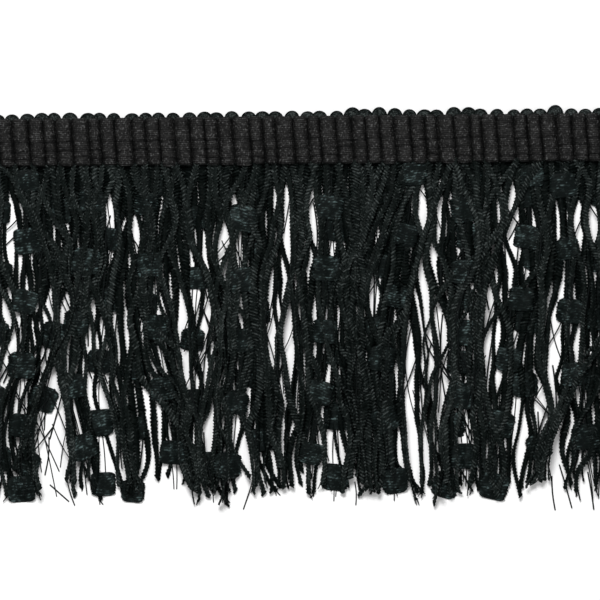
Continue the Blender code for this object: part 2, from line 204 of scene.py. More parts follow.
# Sway of the cords: slow waves that a whole layer follows, then each cord's own
Swell = namedtuple("Swell", "reach across down phase")
COMMON_SWELLS = [Swell(1.6, 72.0, 120.0, 0.6), Swell(0.8, 39.0, 75.0, 3.1)]
FREE_SWELLS = [Swell(3.0, 52.0, 85.0, 0.0), Swell(1.5, 28.0, 50.0, 0.0)]
FREE_DROP = 28.0
SCATTER = 0.3
SWAY_LEAN = 0.025
SWAY_REACH = 0.8
SWAY_SHARE = (0.3, 1.0)
SWAY_WAVE = (45.0, 85.0)
CLUMP_PITCH = 12.5
CLUMP_PULL = 1.9
CLUMP_PHASE = 2.0
CLUMP_DROP = (15.0, 85.0)
STIFF_DRIFT = 0.35

# Roots: where the cords start, cross one another and rise to the pile's own height
ROOT_DROP = -0.9
ROOT_REACH = 5.0
ROOT_CROSSING = 2.0
ROOT_CROSSING_DROP = 6.0

# How a cord leaves its route: slow and quick strays, the layer's slant, and kinks
ROUTE_STEP = 2.0
ROUTE_BLUR = 1.5
LONGEST_STRAND = 120.0
SLOW_WAVE = (14.0, 30.0)
QUICK_WAVE = 9.0
QUICK_REACH = 0.12
FREE_QUICK_REACH = 0.2
STRAY_DROP = 30.0
FREE_STRAY_LEAD = 12.0
CALM_SHARE = 0.4
SLANT_REACH = 0.9
SLANT_WAVE = 37.0
SLANT_ACROSS = 53.0
SLANT_DROP = (3.0, 15.0)
KINK_WAVE = 5.5
KINK_REACH = 0.35

# How the cords keep clear of the gaps, and the share of them that doesn't
PART_STRENGTH = 0.95
PART_BLUR = 0.8
GAP_SHARE = 0.9
OPEN_MARGIN = 3
CROSSING_SHARE = 0.15
WIDE_CROSSING_SHARE = 0.4

# Hem: the cords bunch there, end unevenly and splay
HEM_PULL = 1.05
HEM_PITCH = 8.3
HEM_PULL_DROP = (64.0, 86.0)
HEM_EVENNESS = 0.7
HEM_SHORTER = 1.9
SPLAY = 1.4
SPLAY_LENGTH = 11.0

# Turns of a cord about its own line, some of them onto its edge
TWIST_DROP = (6.0, 21.0)
TWIST_WAVE = 22.0
TWIST_REACH = 0.5
EDGE_SHARE = 0.28
EDGE_DROP = (10, 60)
EDGE_LENGTH = 12

# Width of a cord, as a share of CORD_WIDTH: along its drop, by chance, between and beside the gaps
FULL_DROPS = (0.0, 10.0, 15.0, 20.0, 25.0, 30.0, 36.0, 42.0, 50.0, 60.0, 72.0, 84.0)
FULL_SCALES = (1.34, 1.22, 1.14, 1.08, 1.12, 1.2, 1.12, 1.0, 0.9, 1.0, 1.0, 0.72)
CORD_SCALE = (0.82, 1.2)
CLOSED_SCALE = 1.34
OPEN_SCALE = 0.82
FREE_SCALE_LIMIT = 1.16
FREE_LIMIT_CHANCE = (0.88, 1.12)
LEAST_SCALE = 0.82
LEAST_CHANCE = (0.9, 1.1)
END_SCALES = (1.05, 1.15, 1.2, 1.1)

# Level that a strand rests at, as a share of the pile's height; it sinks into the pile by the rest
PRESS = 0.78

# Cells of the pile's grid of heights, its margin, and the least height of anything over the floor
CELL = 0.25
MARGIN = 3.0
LEAST_HEIGHT = 0.02

# Fine threads: the flag yarns' carriers, and loose ones that cross the gaps or hang past the hem
THREAD_RADIUS = 0.14
LOOSE_RADIUS = (0.13, 0.21)
THREAD_STEP = 1.2
LooseThread = namedtuple("LooseThread", "x drop end_x end_drop")
LOOSE_THREADS = table(
    LooseThread,
    (-71, 64, -64, 80.5), (-79, 44, -75.5, 52), (-78.5, 57, -73, 46), (-69, 40, -60.5, 50.5),
    (-55, 61, -49.5, 45), (-22, 33, -26.5, 66), (-25.5, 38, -20, 52), (-20.5, 20, -16.5, 31),
    (36, 38, 36.2, 66), (37.6, 40, 38.4, 64), (39.5, 48, 35, 62), (27.5, 52, 31, 70),
    (29.5, 60, 33.5, 74), (43.8, 64, 43.6, 88), (42, 68, 47.5, 83), (62.5, 66, 63, 76),
    (65, 66, 64, 77), (-11, 76, -15.5, 91), (-28.8, 82, -28.4, 89.5), (14, 84, 14.2, 90.2),
    (66, 83, 66.8, 92), (68, 80, 71.2, 91.5), (71.5, 82, 73.4, 89.5), (75.5, 82, 77, 92),
    (-62, 80, -60, 89.5), (-66.5, 84, -61.5, 88.5),
)


# Routes of the strands, as in the CAD model


def rising_order(values):
    """The nearest rising sequence to values, by pooling neighbours that are out of order."""
    pools = []
    for value in values:
        pools.append([value, 1])
        while len(pools) > 1 and pools[-2][0] > pools[-1][0]:
            high, high_count = pools.pop()
            low, low_count = pools.pop()
            count = low_count + high_count
            pools.append([(low * low_count + high * high_count) / count, count])
    return np.concatenate([np.full(count, mean) for mean, count in pools])


def smooth_step(value):
    value = np.clip(value, 0.0, 1.0)
    return value * value * (3 - 2 * value)


def eased(drop, top, bottom):
    """How much of a change between two drops is done at this drop."""
    return smooth_step((drop - top) / (bottom - top))


def drifted(x, drop, strength):
    """Where a strand at x is carried by the drifts that it has passed at this drop."""
    moved = np.array(x, dtype=float)
    for drift in DRIFTS:
        nearness = np.clip(1 - np.abs(x - drift.x) / drift.reach, 0.0, 1.0)
        done = eased(drop, drift.top, drift.bottom)
        moved += strength * drift.shift * smooth_step(nearness) * done
    return moved


def swell_shift(swells, x, drop, turn):
    """How far a row of slow waves carries strands at x."""
    moved = np.zeros(len(x))
    for swell in swells:
        angle = math.tau * (x / swell.across + drop / swell.down) + swell.phase + turn
        moved += swell.reach * np.sin(angle)
    return moved * smooth_step(drop / FREE_DROP)


class Bundle:
    """One layer of cords, kept in order and apart at every drop, and opened where it parts."""

    def __init__(self, layer):
        random = np.random.default_rng(layer.seed)
        pitch = 2 * CORD_LIMIT / layer.count
        scatter = layer.freedom * random.uniform(-SCATTER, SCATTER, layer.count)
        self.root = (np.arange(layer.count) + layer.phase + scatter) * pitch - CORD_LIMIT
        self.freedom = layer.freedom
        self.lean = random.normal(0.0, SWAY_LEAN, layer.count)
        self.sway = SWAY_REACH * random.uniform(*SWAY_SHARE, layer.count)
        self.wave = random.uniform(*SWAY_WAVE, layer.count)
        self.phase = random.uniform(0, math.tau, layer.count)
        self.turn = random.uniform(0, math.tau)
        self.end_jitter = random.uniform(-HEM_JITTER, HEM_JITTER, layer.count)
        self.offsets = CORD_SPACING * np.arange(layer.count)
        self.cuts = [int(np.sum(self.natural(gap.middle) < gap.x)) for gap in PARTINGS]

    def natural(self, drop):
        """Where the strands would lie at this drop if nothing kept them in order or apart."""
        own = self.lean * drop + self.sway * np.sin(math.tau * drop / self.wave + self.phase)
        own = own * smooth_step(drop / FREE_DROP)
        own = own + swell_shift(FREE_SWELLS, self.root, drop, self.turn)
        x = self.root + swell_shift(COMMON_SWELLS, self.root, drop, 0.0) + self.freedom * own
        pull = CLUMP_PULL * eased(drop, *CLUMP_DROP)
        x = x + pull * np.sin(math.tau * x / CLUMP_PITCH + CLUMP_PHASE)
        return drifted(x, drop, max(self.freedom, STIFF_DRIFT))

    def places(self, drop):
        """Each strand's x at this drop."""
        slack = rising_order(self.natural(drop) - self.offsets)
        for parting, cut in zip(PARTINGS, self.cuts):
            centre, half = parting.shape(drop, 1.0)
            left, right = slack[:cut], slack[cut:]
            if cut > 0:
                np.minimum(left, centre - half - self.offsets[cut - 1], out=left)
            if cut < len(slack):
                np.maximum(right, centre + half - self.offsets[cut], out=right)
        return np.clip(slack, -CORD_LIMIT, CORD_LIMIT - self.offsets[-1]) + self.offsets


def hem_drop(x):
    """Where the cords end at x."""
    return np.interp(x, HEM_X, HEM_DROP)


# The pile: how high the strands that already lie there reach


def blur(values, radius, step):
    """Smooths a row of values over this radius."""
    reach = max(1, round(2 * radius / step))
    offsets = np.arange(-reach, reach + 1) * step
    weights = np.exp(-0.5 * (offsets / radius) ** 2)
    padded = np.pad(values, reach, mode="edge")
    return np.convolve(padded, weights / weights.sum(), mode="valid")


def highest_near(values, radius, step):
    """The highest value within this radius of each place in a row."""
    reach = max(1, round(radius / step))
    padded = np.pad(values, reach, mode="edge")
    rows = [padded[shift : shift + len(values)] for shift in range(2 * reach + 1)]
    return np.max(rows, axis=0)


def bed(row, reach, radius, step):
    """The heights along a row as something rests on them: the highest near each place, smoothed."""
    return blur(highest_near(row, reach, step), radius, step)


class Pile:
    """A grid of heights over the floor, in trim coordinates: x across, drop down the fringe."""

    def __init__(self):
        self.left = -TRIM_LENGTH / 2 - MARGIN
        self.top = -MARGIN
        across = int((TRIM_LENGTH + 2 * MARGIN) / CELL)
        down = int((max(HEM_DROP) + 4 * MARGIN) / CELL)
        self.heights = np.zeros((across, down))

    def cells(self, x, drop):
        """The grid's indices at these places."""
        across = np.clip(((x - self.left) / CELL).astype(int), 0, self.heights.shape[0] - 1)
        down = np.clip(((drop - self.top) / CELL).astype(int), 0, self.heights.shape[1] - 1)
        return across, down

    def under(self, x, drop):
        """How high the pile is at these places."""
        return self.heights[self.cells(x, drop)]

    def cover(self, x, drop, height):
        """Raises the pile to these heights, where it is lower."""
        np.maximum.at(self.heights, self.cells(x, drop), height)


PILE = Pile()


# Meshes made of tubes: rings of points, joined and capped

SHARP_EDGE = math.radians(75)
PLAIN_STITCH = 0.5
PLAIN_TONE = 0.5


def placed(name, data):
    """A new object in the scene."""
    item = bpy.data.objects.new(name, data)
    bpy.context.scene.collection.objects.link(item)
    return item


class Skin:
    """Gathers tubes into one mesh, with a painted light value (painted highlight and painted shade) and
    a tone, partly painted shade, at every point.
    """

    def __init__(self):
        self.points, self.quads, self.caps = [], [], []
        self.stitch, self.tone = [], []
        self.count = 0

    def add_tube(self, rings, stitch, tone):
        """Joins rings, an array of ring by point by xyz, that run clockwise seen down the tube."""
        ring_count, size, _ = rings.shape
        index = self.count + np.arange(ring_count * size).reshape(ring_count, size)
        after = np.roll(index, -1, axis=1)
        quads = np.stack([index[:-1], after[:-1], after[1:], index[1:]], axis=-1)
        self.points.append(rings.reshape(-1, 3))
        self.quads.append(quads.reshape(-1, 4))
        self.caps += [index[0][::-1].tolist(), index[-1].tolist()]
        self.stitch.append(np.broadcast_to(stitch, (ring_count, size)).ravel())
        self.tone.append(np.broadcast_to(tone, (ring_count, size)).ravel())
        self.count += ring_count * size

    def build(self, name, material):
        """Makes the object, its sizes turned into metres."""
        mesh = bpy.data.meshes.new(name)
        points = np.concatenate(self.points) * MM
        faces = np.concatenate(self.quads).tolist() + self.caps
        mesh.from_pydata(points.tolist(), [], faces)
        for label, values in (("stitch", self.stitch), ("tone", self.tone)):
            layer = mesh.attributes.new(label, "FLOAT", "POINT")
            layer.data.foreach_set("value", np.concatenate(values).astype(np.float32))
        mesh.shade_smooth()
        mesh.set_sharp_from_angle(angle=SHARP_EDGE)
        mesh.materials.append(material)
        return placed(name, mesh)


def in_frame(x, drop, height):
    """Points in the part's frame, in millimetres."""
    return np.stack([x, HEADING_BOTTOM - drop, height], axis=-1)


def frame_along(path):
    """Unit vectors along a path, across it on the level, and up from both."""
    along = np.gradient(path, axis=0)
    along /= np.linalg.norm(along, axis=1, keepdims=True)
    across = np.cross(along, (0.0, 0.0, 1.0))
    across /= np.linalg.norm(across, axis=1, keepdims=True)
    return along, across, np.cross(across, along)


# Cords

STITCH_LENGTH = 0.89
STITCH_CHANCE = (0.88, 1.08)
RINGS_PER_STITCH = 2
COARSE_ANGLES = np.radians([90, 35, -25, -90, -155, 145])
FINE_ANGLES = np.radians([90, 50, 12, -35, -90, -145, 168, 130])
VALLEY_WIDTH = 0.66
VALLEY_HEIGHT = 0.4
STITCH_UNEVEN = 0.06
STITCH_NUDGE = 0.04

# Bars slant one way or the other across a cord, and chevrons fold along its spine; the spine keeps only
# SPINE_SHADE of the stitch's painted highlight, as painted shade in the fold
BAR_CHANCES = (0.22, 0.56, 0.22)
BAR_SLANT = 0.42
CHEVRON = 0.55
SPINE_HALF_WIDTH = 0.1
SPINE_FOLD = 0.7
SIDE_FOLD = 1.1
SPINE_SHADE = 0.6

# Painted highlight on each stitch's crest ring, in a strength for each stitch and for each point of it;
# the rings between get none and read as painted shade
STITCH_LIGHT = (0.8, 1.1)
POINT_LIGHT = (0.35, 1.25)


def cord_rings(random, path, twist, scale, angles, slant):
    """The rings of a chainette along path, flat in section, its stitches bars or chevrons, with each
    point's painted light: painted highlight on the crest rings, painted shade between them and along a
    chevron's spine.
    """
    along, level, up = frame_along(path)
    turn = twist[:, None]
    across = level * np.cos(turn) + up * np.sin(turn)
    rise = up * np.cos(turn) - level * np.sin(turn)
    crest = (np.arange(len(path)) % RINGS_PER_STITCH) == 0
    uneven = random.normal(1.0, STITCH_UNEVEN, len(path))
    wide = scale * uneven * np.where(crest, 1.0, VALLEY_WIDTH) * CORD_WIDTH / 2
    high = scale * uneven * np.where(crest, 1.0, VALLEY_HEIGHT) * CORD_THICKNESS / 2
    if slant == 0:
        spine = np.abs(np.cos(angles)) < SPINE_HALF_WIDTH
        shift = CHEVRON * (0.5 - np.abs(np.cos(angles)))
        fold = np.where(spine, SPINE_FOLD, SIDE_FOLD)
        shade = np.where(spine, SPINE_SHADE, 1.0)
    else:
        shift = slant * BAR_SLANT * np.cos(angles)
        fold = shade = np.ones(len(angles))
    nudge = random.normal(0.0, STITCH_NUDGE, len(path))
    rings = path[:, None, :] + along[:, None, :] * (shift[None, :, None] + nudge[:, None, None])
    rings = rings + across[:, None, :] * (np.cos(angles)[None, :] * wide[:, None])[:, :, None]
    rings = rings + rise[:, None, :] * ((np.sin(angles) * fold)[None, :] * high[:, None])[:, :, None]
    rings[..., 2] = np.maximum(rings[..., 2], LEAST_HEIGHT)
    # Painted highlight on the crest rings only, random in strength; painted shade on the valley rings
    # and on the spine
    bright = random.uniform(*STITCH_LIGHT, (len(path), 1))
    bright = bright * random.uniform(*POINT_LIGHT, rings.shape[:2])
    return rings, bright * crest[:, None] * shade


def resampled(x, drop, step):
    """The same line with points every step along its length, ends kept."""
    length = np.concatenate([[0.0], np.cumsum(np.hypot(np.diff(x), np.diff(drop)))])
    marks = np.arange(0.0, length[-1], step)
    return np.interp(marks, length, x), np.interp(marks, length, drop)


# Bed that a cord settles on, across its width and along it, and the crown that it adds to the pile
BED_POINTS = 5
BED_SHARE = 0.8
BED_REACH = 0.8
BED_BLUR = 1.6
CROWN_POINTS = 9
CROWN_FALL = 0.8


def settle(x, drop, half_width, half_height, step, root_level):
    """Lays a strand on the pile and returns the height of its middle line."""
    offsets = np.linspace(-BED_SHARE, BED_SHARE, BED_POINTS) * half_width
    under = PILE.under(x[:, None] + offsets, np.broadcast_to(drop[:, None], (len(drop), BED_POINTS)))
    rest = bed(under.max(axis=1), BED_REACH, BED_BLUR, step) * PRESS
    rooted = smooth_step((drop - ROOT_DROP) / ROOT_REACH)
    rest = rest * rooted + np.minimum(rest, root_level) * (1 - rooted)
    middle = rest + half_height
    spread = np.linspace(-1.0, 1.0, CROWN_POINTS) * half_width
    crown = np.sqrt(1 - CROWN_FALL * (spread / half_width) ** 2)
    tops = middle[:, None] + half_height[:, None] * crown[None, :]
    PILE.cover(x[:, None] + spread, np.broadcast_to(drop[:, None], tops.shape), tops)
    return middle


def wander(random, count, step, wave, reach, length=LONGEST_STRAND):
    """A smooth random wobble: its first count values, a step apart, of all those along length."""
    knot_count = max(4, int(length / wave) + 3)
    knots = random.normal(0.0, reach, knot_count)
    marks = np.linspace(0.0, 1.0, int(length / step) + 1)
    wobble = blur(np.interp(marks, np.linspace(0, 1, knot_count), knots), wave / 3, step)
    return wobble[:count]


def openness(x, drop):
    """How near each point of a strand is to a parting, from 0 to 1."""
    near = np.zeros(len(x))
    for parting in [*WIDE_PARTINGS, *PARTINGS]:
        along = (drop - parting.middle) / ((parting.bottom - parting.top) / 2 + OPEN_MARGIN)
        across = (x - parting.x) / (parting.width + OPEN_MARGIN)
        near = np.maximum(near, np.exp(-(along**4) - across**2))
    return near


def fullness(x, drop):
    """How wide a strand's cord is at each point, beside its width elsewhere."""
    full = np.ones(len(x))
    for patch in PATCHES:
        away = ((x - patch.x) / patch.across) ** 2 + ((drop - patch.drop) / patch.down) ** 2
        full = full + patch.share * np.exp(-(away**2))
    return full


def leaned(x, drop):
    """The strand's line after it has leaned across its neighbours."""
    for lean in LEANS:
        nearness = max(0.0, 1 - abs(float(np.interp(lean.top, drop, x)) - lean.x) / lean.reach)
        done = eased(drop, lean.top, lean.bottom)
        x = x + lean.shift * smooth_step(2 * nearness) * done
    return np.clip(x, -CORD_LIMIT, CORD_LIMIT)


def parted(x, drop, partings):
    """The strand's line held clear of each parting, on the side where it passes the middle."""
    for parting in partings:
        centre, half = parting.shape(drop, GAP_SHARE)
        side = 1 if float(np.interp(parting.middle, drop, x)) > parting.x else -1
        x = x + PART_STRENGTH * side * np.maximum(0.0, half - side * (x - centre))
    return x


def strayed(random, layer, x, drop, step):
    """A cord's line after its own strays, the pull of the hem and the crossing at its root."""
    stray = wander(random, len(x), step, random.uniform(*SLOW_WAVE), layer.stray)
    quick_reach = QUICK_REACH + FREE_QUICK_REACH * layer.freedom
    stray = stray + wander(random, len(x), step, QUICK_WAVE, quick_reach)
    stray = stray * smooth_step(drop / (STRAY_DROP - FREE_STRAY_LEAD * layer.freedom))
    slope_wave = np.sin(math.tau * (drop / SLANT_WAVE + x[0] / SLANT_ACROSS))
    stray = stray + layer.slant * SLANT_REACH * slope_wave * eased(drop, *SLANT_DROP)
    if not layer.freedom:
        stray = stray * (CALM_SHARE + (1 - CALM_SHARE) * openness(x, drop))
    x = x + stray
    x = x + HEM_PULL * np.sin(math.tau * x / HEM_PITCH) * eased(drop, *HEM_PULL_DROP)
    crossing = layer.freedom * random.normal(0.0, ROOT_CROSSING)
    return x + crossing * (np.exp(-np.maximum(drop, 0) / ROOT_CROSSING_DROP) - 1)


def cord_line(random, layer, route, drop, step):
    """The line that a cord takes along its route: it strays, leans, parts and kinks."""
    x = strayed(random, layer, blur(route, ROUTE_BLUR, step), drop, step)
    if layer.freedom and random.random() < LEAN_SHARE:
        x = leaned(x, drop)
    crossing = random.random()
    if crossing > WIDE_CROSSING_SHARE:
        x = parted(x, drop, WIDE_PARTINGS)
    if crossing > CROSSING_SHARE:
        x = blur(parted(x, drop, PARTINGS), PART_BLUR, step)
    return x + wander(random, len(x), step, KINK_WAVE, KINK_REACH)


def cord_twist(random, drop, step):
    """How far a cord is turned about its own line at each point, in radians."""
    twist = eased(drop, *TWIST_DROP) * wander(random, len(drop), step, TWIST_WAVE, TWIST_REACH)
    if random.random() < EDGE_SHARE:
        turn = random.choice([-1, 1]) * math.pi / 2
        twist = twist + turn * smooth_step((drop - random.uniform(*EDGE_DROP)) / EDGE_LENGTH)
    return twist


def cord_scale(random, layer, x, drop):
    """How wide a cord is at each point, as a share of CORD_WIDTH."""
    scale = np.interp(drop, FULL_DROPS, FULL_SCALES) * random.uniform(*CORD_SCALE)
    scale = scale * (CLOSED_SCALE + (OPEN_SCALE - CLOSED_SCALE) * openness(x, drop))
    if layer.freedom:
        scale = np.minimum(scale, FREE_SCALE_LIMIT * random.uniform(*FREE_LIMIT_CHANCE))
    scale = np.maximum(scale * fullness(x, drop), LEAST_SCALE * random.uniform(*LEAST_CHANCE))
    scale[-len(END_SCALES) :] *= END_SCALES
    return scale


# Each cord's end: x, drop, height, and how far it leans in x over its last LEAN_POINTS points
CORD_ENDS = []
LEAN_POINTS = 5
DRESSING_SEED = 100


def make_cords(layer, material):
    """Every cord of a layer, laid on what is under it."""
    bundle = Bundle(layer)
    random = np.random.default_rng(layer.seed + DRESSING_SEED)
    drops = np.arange(ROOT_DROP, LAST_DROP + ROUTE_STEP, ROUTE_STEP)
    routes = np.array([bundle.places(drop) for drop in drops])
    ends = hem_drop(bundle.places(LAST_DROP)) + HEM_EVENNESS * bundle.end_jitter
    ends = ends - random.exponential(HEM_SHORTER, layer.count)
    angles = FINE_ANGLES if layer.freedom else COARSE_ANGLES
    skin = Skin()
    for strand in random.permutation(layer.count):
        step = STITCH_LENGTH * random.uniform(*STITCH_CHANCE) / RINGS_PER_STITCH
        drop = np.arange(ROOT_DROP, ends[strand], step / 2)
        x = cord_line(random, layer, np.interp(drop, drops, routes[:, strand]), drop, step / 2)
        near_end = np.clip((drop - ends[strand] + SPLAY_LENGTH) / SPLAY_LENGTH, 0, 1)
        x = x + random.normal(0.0, SPLAY) * near_end**2
        x, drop = resampled(x, drop, step)
        twist = cord_twist(random, drop, step)
        half_width = np.hypot(CORD_WIDTH / 2 * np.cos(twist), CORD_THICKNESS / 2 * np.sin(twist))
        half_height = np.hypot(CORD_WIDTH / 2 * np.sin(twist), CORD_THICKNESS / 2 * np.cos(twist))
        middle = settle(x, drop, float(half_width.mean()), half_height, step, layer.level)
        path = in_frame(x, drop, middle)
        scale = cord_scale(random, layer, x, drop)
        CORD_ENDS.append((x[-1], drop[-1], middle[-1], x[-1] - x[-1 - LEAN_POINTS]))
        slant = random.choice([-1, 0, 1], p=BAR_CHANCES)
        rings, stitch = cord_rings(random, path, twist, scale, angles, slant)
        # The cord's tone: random, and darker in the lower layers as painted shade
        skin.add_tube(rings, stitch, random.uniform(*layer.tones))
    return skin.build(layer.name, material)


# Flag yarns

TAB_ROWS = 19
TAB_COLUMNS = 15
TAB_CHANCE = (0.88, 1.08)
TAB_THICKNESS = 0.32
TAB_DOME = 0.3

# Outline of a tab: pinched ends, cut corners, ragged sides and a wave down its picks
TAB_PINCH = (0.02, 0.26)
TAB_CORNER = 0.12
CORNER_POWER = 6
RAGGED_STEP = 0.04
RAGGED_CHANCE = 0.03
PICK_WAVE = 0.06
PICK_WAVE_RATE = 3.0
PICK_TILT = (-0.08, 0.08)
WAVE_PHASE = (0, 6)

# Relief of a tab: its picks, how it bows each way, and its rim, which droops onto the pile
PICK_RELIEF = 0.16
PICK_LIFT = (0.2, 1.0)
BOW_ACROSS = (-0.1, 0.35)
BOW_DOWN = (-0.05, 0.3)
RIM_DROOP = 0.2
DROOP_POWER = 8
LEAST_TOP = 0.12
# Painted highlight flecks on the raised picks: how rare the bright ones are
GLINT_RARITY = 2.2

# Bed that a tab rests on: reach and step of its points, down it and across it
TAB_BEDS = ((0.5, 0.4), (0.9, 0.8))
TAB_BED_BLUR = 1.2


def tab_rings(x, drop, turn, size, random):
    """A woven tab laid on the pile: rows of picks across, rounded corners, a soft bow."""
    down = np.linspace(-1.0, 1.0, TAB_ROWS)
    over = np.linspace(-1.0, 1.0, TAB_COLUMNS)
    v, u = np.meshgrid(down, over, indexing="ij")
    pick = (np.arange(TAB_ROWS) % 2)[:, None]
    pinch = random.uniform(*TAB_PINCH, 2)
    narrow = 1 - np.where(v < 0, pinch[0], pinch[1]) * np.abs(v) ** CORNER_POWER
    ragged = 1 + RAGGED_STEP * (2 * pick - 1)
    ragged = ragged + random.normal(0.0, RAGGED_CHANCE, (TAB_ROWS, 1))
    wave = PICK_WAVE * np.sin(PICK_WAVE_RATE * u + random.uniform(*WAVE_PHASE))
    wave = wave + random.uniform(*PICK_TILT) * u
    local_x = u * narrow * ragged * TAB_WIDTH / 2 * size
    corner = 1 - TAB_CORNER * np.abs(u) ** CORNER_POWER
    local_y = (v * corner + wave * (1 - v * v)) * TAB_LENGTH / 2 * size
    place_x = x + local_x * math.cos(turn) - local_y * math.sin(turn)
    place_drop = drop + local_x * math.sin(turn) + local_y * math.cos(turn)
    rest = PILE.under(place_x, place_drop) * PRESS
    for axis in (1, 0):
        reach, step = TAB_BEDS[axis]
        rest = np.apply_along_axis(bed, axis, rest, reach, TAB_BED_BLUR, step)
    bow = random.uniform(*BOW_ACROSS) * u * u + random.uniform(*BOW_DOWN) * np.abs(v) ** 2
    relief = PICK_RELIEF * (2 * pick - 1) * random.uniform(*PICK_LIFT, u.shape)
    dome = TAB_DOME * (1 - u * u) * (1 - v * v)
    top = rest + TAB_THICKNESS + relief + bow + dome
    rim = np.maximum(np.abs(u), np.abs(v)) ** DROOP_POWER
    top = np.maximum(top - RIM_DROOP * rim, LEAST_TOP)
    low = np.maximum(top - TAB_THICKNESS - relief - dome, LEAST_HEIGHT)
    PILE.cover(place_x, place_drop, top)
    upper = in_frame(place_x, place_drop, top)
    rings = np.concatenate([upper[:, ::-1], in_frame(place_x, place_drop, low)], axis=1)
    # Painted highlight flecks on the raised picks of the upper face; the under face gets none
    pick_glints = pick * random.uniform(0.0, 1.0, u.shape) ** GLINT_RARITY
    stitch = np.concatenate([pick_glints[:, ::-1], np.zeros(u.shape)], axis=1)
    return rings, stitch


def tube_rings(path, radius, sides=4):
    """The rings of a plain round tube along path."""
    _, across, rise = frame_along(path)
    angles = math.pi / 2 - np.arange(sides) * math.tau / sides
    return path[:, None, :] + radius * (
        across[:, None, :] * np.cos(angles)[None, :, None]
        + rise[:, None, :] * np.sin(angles)[None, :, None]
    )


# How a thread lies: on the highest cords near it, smoothed, and low where it leaves the heading
THREAD_REACH = 1.5
THREAD_BLUR = 2.5
THREAD_PRESS = 0.85
THREAD_ROOT_REACH = 4.0
THREAD_ROOT_LEVEL = 1.2


def add_thread(skin, x, drop, radius, tone):
    """A fine thread laid over the pile."""
    rest = bed(PILE.under(x, drop), THREAD_REACH, THREAD_BLUR, THREAD_STEP)
    height = rest * THREAD_PRESS + radius
    rooted = smooth_step((drop - ROOT_DROP) / THREAD_ROOT_REACH)
    height = height * rooted + np.minimum(height, THREAD_ROOT_LEVEL) * (1 - rooted)
    skin.add_tube(tube_rings(in_frame(x, drop, height), radius), PLAIN_STITCH, tone)


# Carriers of a flag yarn: where they end, how they wander and how far they part
TAIL_CHANCE = (0.4, 2.0)
TAIL_CUT = (1.0, 5.0)
SPINE_BLUR = 6.0
SPINE_WAVE = 14.0
SPINE_REACH = 0.35
CARRIER_SPREAD = 0.55
CARRIER_SWING = 0.35
CARRIER_WAVE = (3, 6)

# Tabs' place and turn: the first clears the heading, and each follows the spine's lean over a length
FIRST_CLEARANCE = 0.5
PITCH_CHANCE = (-0.5, 0.5)
SPINE_LENGTH = 6
TURN_CHANCE = 0.12


def make_flags(layer, material, thread_material):
    """The flag yarns of a layer: two carriers each, with woven tabs along them."""
    random = np.random.default_rng(layer.seed + DRESSING_SEED)
    tabs, threads = Skin(), Skin()
    for flag in FLAGS:
        if flag.layer != layer.name:
            continue
        turns = (flag.root, flag.upper, flag.lower, flag.end)
        end = float(hem_drop(flag.end)) + TAIL_LENGTH * random.uniform(*TAIL_CHANCE)
        drop = np.arange(ROOT_DROP, end, THREAD_STEP)
        spine = blur(np.interp(drop, FLAG_DROPS, turns), SPINE_BLUR, THREAD_STEP)
        spine = spine + wander(random, len(drop), THREAD_STEP, SPINE_WAVE, SPINE_REACH)
        for side in (-1, 1):
            swing = np.sin(drop / random.uniform(*CARRIER_WAVE) + random.uniform(*WAVE_PHASE))
            spread = side * (CARRIER_SPREAD + CARRIER_SWING * swing)
            kept = drop < end - random.uniform(*TAIL_CUT)
            add_thread(threads, (spine + spread)[kept], drop[kept], THREAD_RADIUS, random.random())
        middle = flag.first
        while middle + TAB_LENGTH / 2 < end:
            if middle > TAB_LENGTH / 2 - FIRST_CLEARANCE:
                reach = SPINE_LENGTH / 2
                x, above, below = np.interp([middle, middle - reach, middle + reach], drop, spine)
                turn = random.normal(0.0, TURN_CHANCE) - math.atan2(below - above, SPINE_LENGTH)
                size = random.uniform(*TAB_CHANCE)
                rings, stitch = tab_rings(float(x), middle, turn, size, random)
                tabs.add_tube(rings, stitch, random.random())
            middle += TAB_PITCH + random.uniform(*PITCH_CHANCE)
    return [
        tabs.build(layer.name, material),
        threads.build(layer.name + "_threads", thread_material),
    ]


# Loose threads and frayed ends

LOOSE_SEED = 77
STRAY_THREADS = 90
STRAY_LENGTH = (9.0, 26.0)
STRAY_SLOPE = 0.2
STRAY_MARGIN = 4
STRAY_TOP = 10.0
HEM_MARGIN = 2
SIDE_MARGIN = 1

# Threads across the gaps: how many for each millimetre of width, and where they start and end, as
# shares of the gap's depth and width
GAP_THREADS = 0.6
GAP_START = (-0.5, 0.1)
GAP_DEPTH = (0.25, 0.5)
GAP_OVERLAP = (0.35, 0.8)

THREAD_BOW = (-0.05, 0.05)
LEAST_POINTS = 5
FRAYED_SHARE = 0.3
FRAY_COUNT = 2
FRAY_POINTS = 4
FRAY_LENGTH = (0.3, 1.5)
FRAY_START = (-0.5, 0.5)
FRAY_OVERLAP = 0.4
FRAY_SPREAD = 0.45
FRAY_CURL = 1.5
FRAY_RADIUS = 0.14
LEAN_LENGTH = 2.5


def stray_threads(random):
    """Threads that lie across the fringe at random."""
    for _ in range(STRAY_THREADS):
        x = random.uniform(-TRIM_LENGTH / 2 + STRAY_MARGIN, TRIM_LENGTH / 2 - STRAY_MARGIN)
        length = random.uniform(*STRAY_LENGTH)
        drop = random.uniform(STRAY_TOP, max(HEM_DROP) - length - HEM_MARGIN)
        end_x = x + length * random.normal(0.0, STRAY_SLOPE)
        limit = TRIM_LENGTH / 2 - SIDE_MARGIN
        yield LooseThread(x, drop, float(np.clip(end_x, -limit, limit)), drop + length)


def gap_threads(random):
    """Threads that cross the partings from one side to the other."""
    for parting in PARTINGS:
        for _ in range(round(parting.width * GAP_THREADS)):
            start = random.uniform(*GAP_START)
            end = start + random.uniform(*GAP_DEPTH)
            side = random.choice([-1, 1]) * parting.width
            x = parting.x + parting.swing * start + side * random.uniform(*GAP_OVERLAP)
            end_x = parting.x + parting.swing * end - side * random.uniform(*GAP_OVERLAP)
            depth = parting.bottom - parting.top
            drop, end_drop = parting.middle + start * depth, parting.middle + end * depth
            if end_drop < min(HEM_DROP):
                yield LooseThread(x, drop, end_x, end_drop)


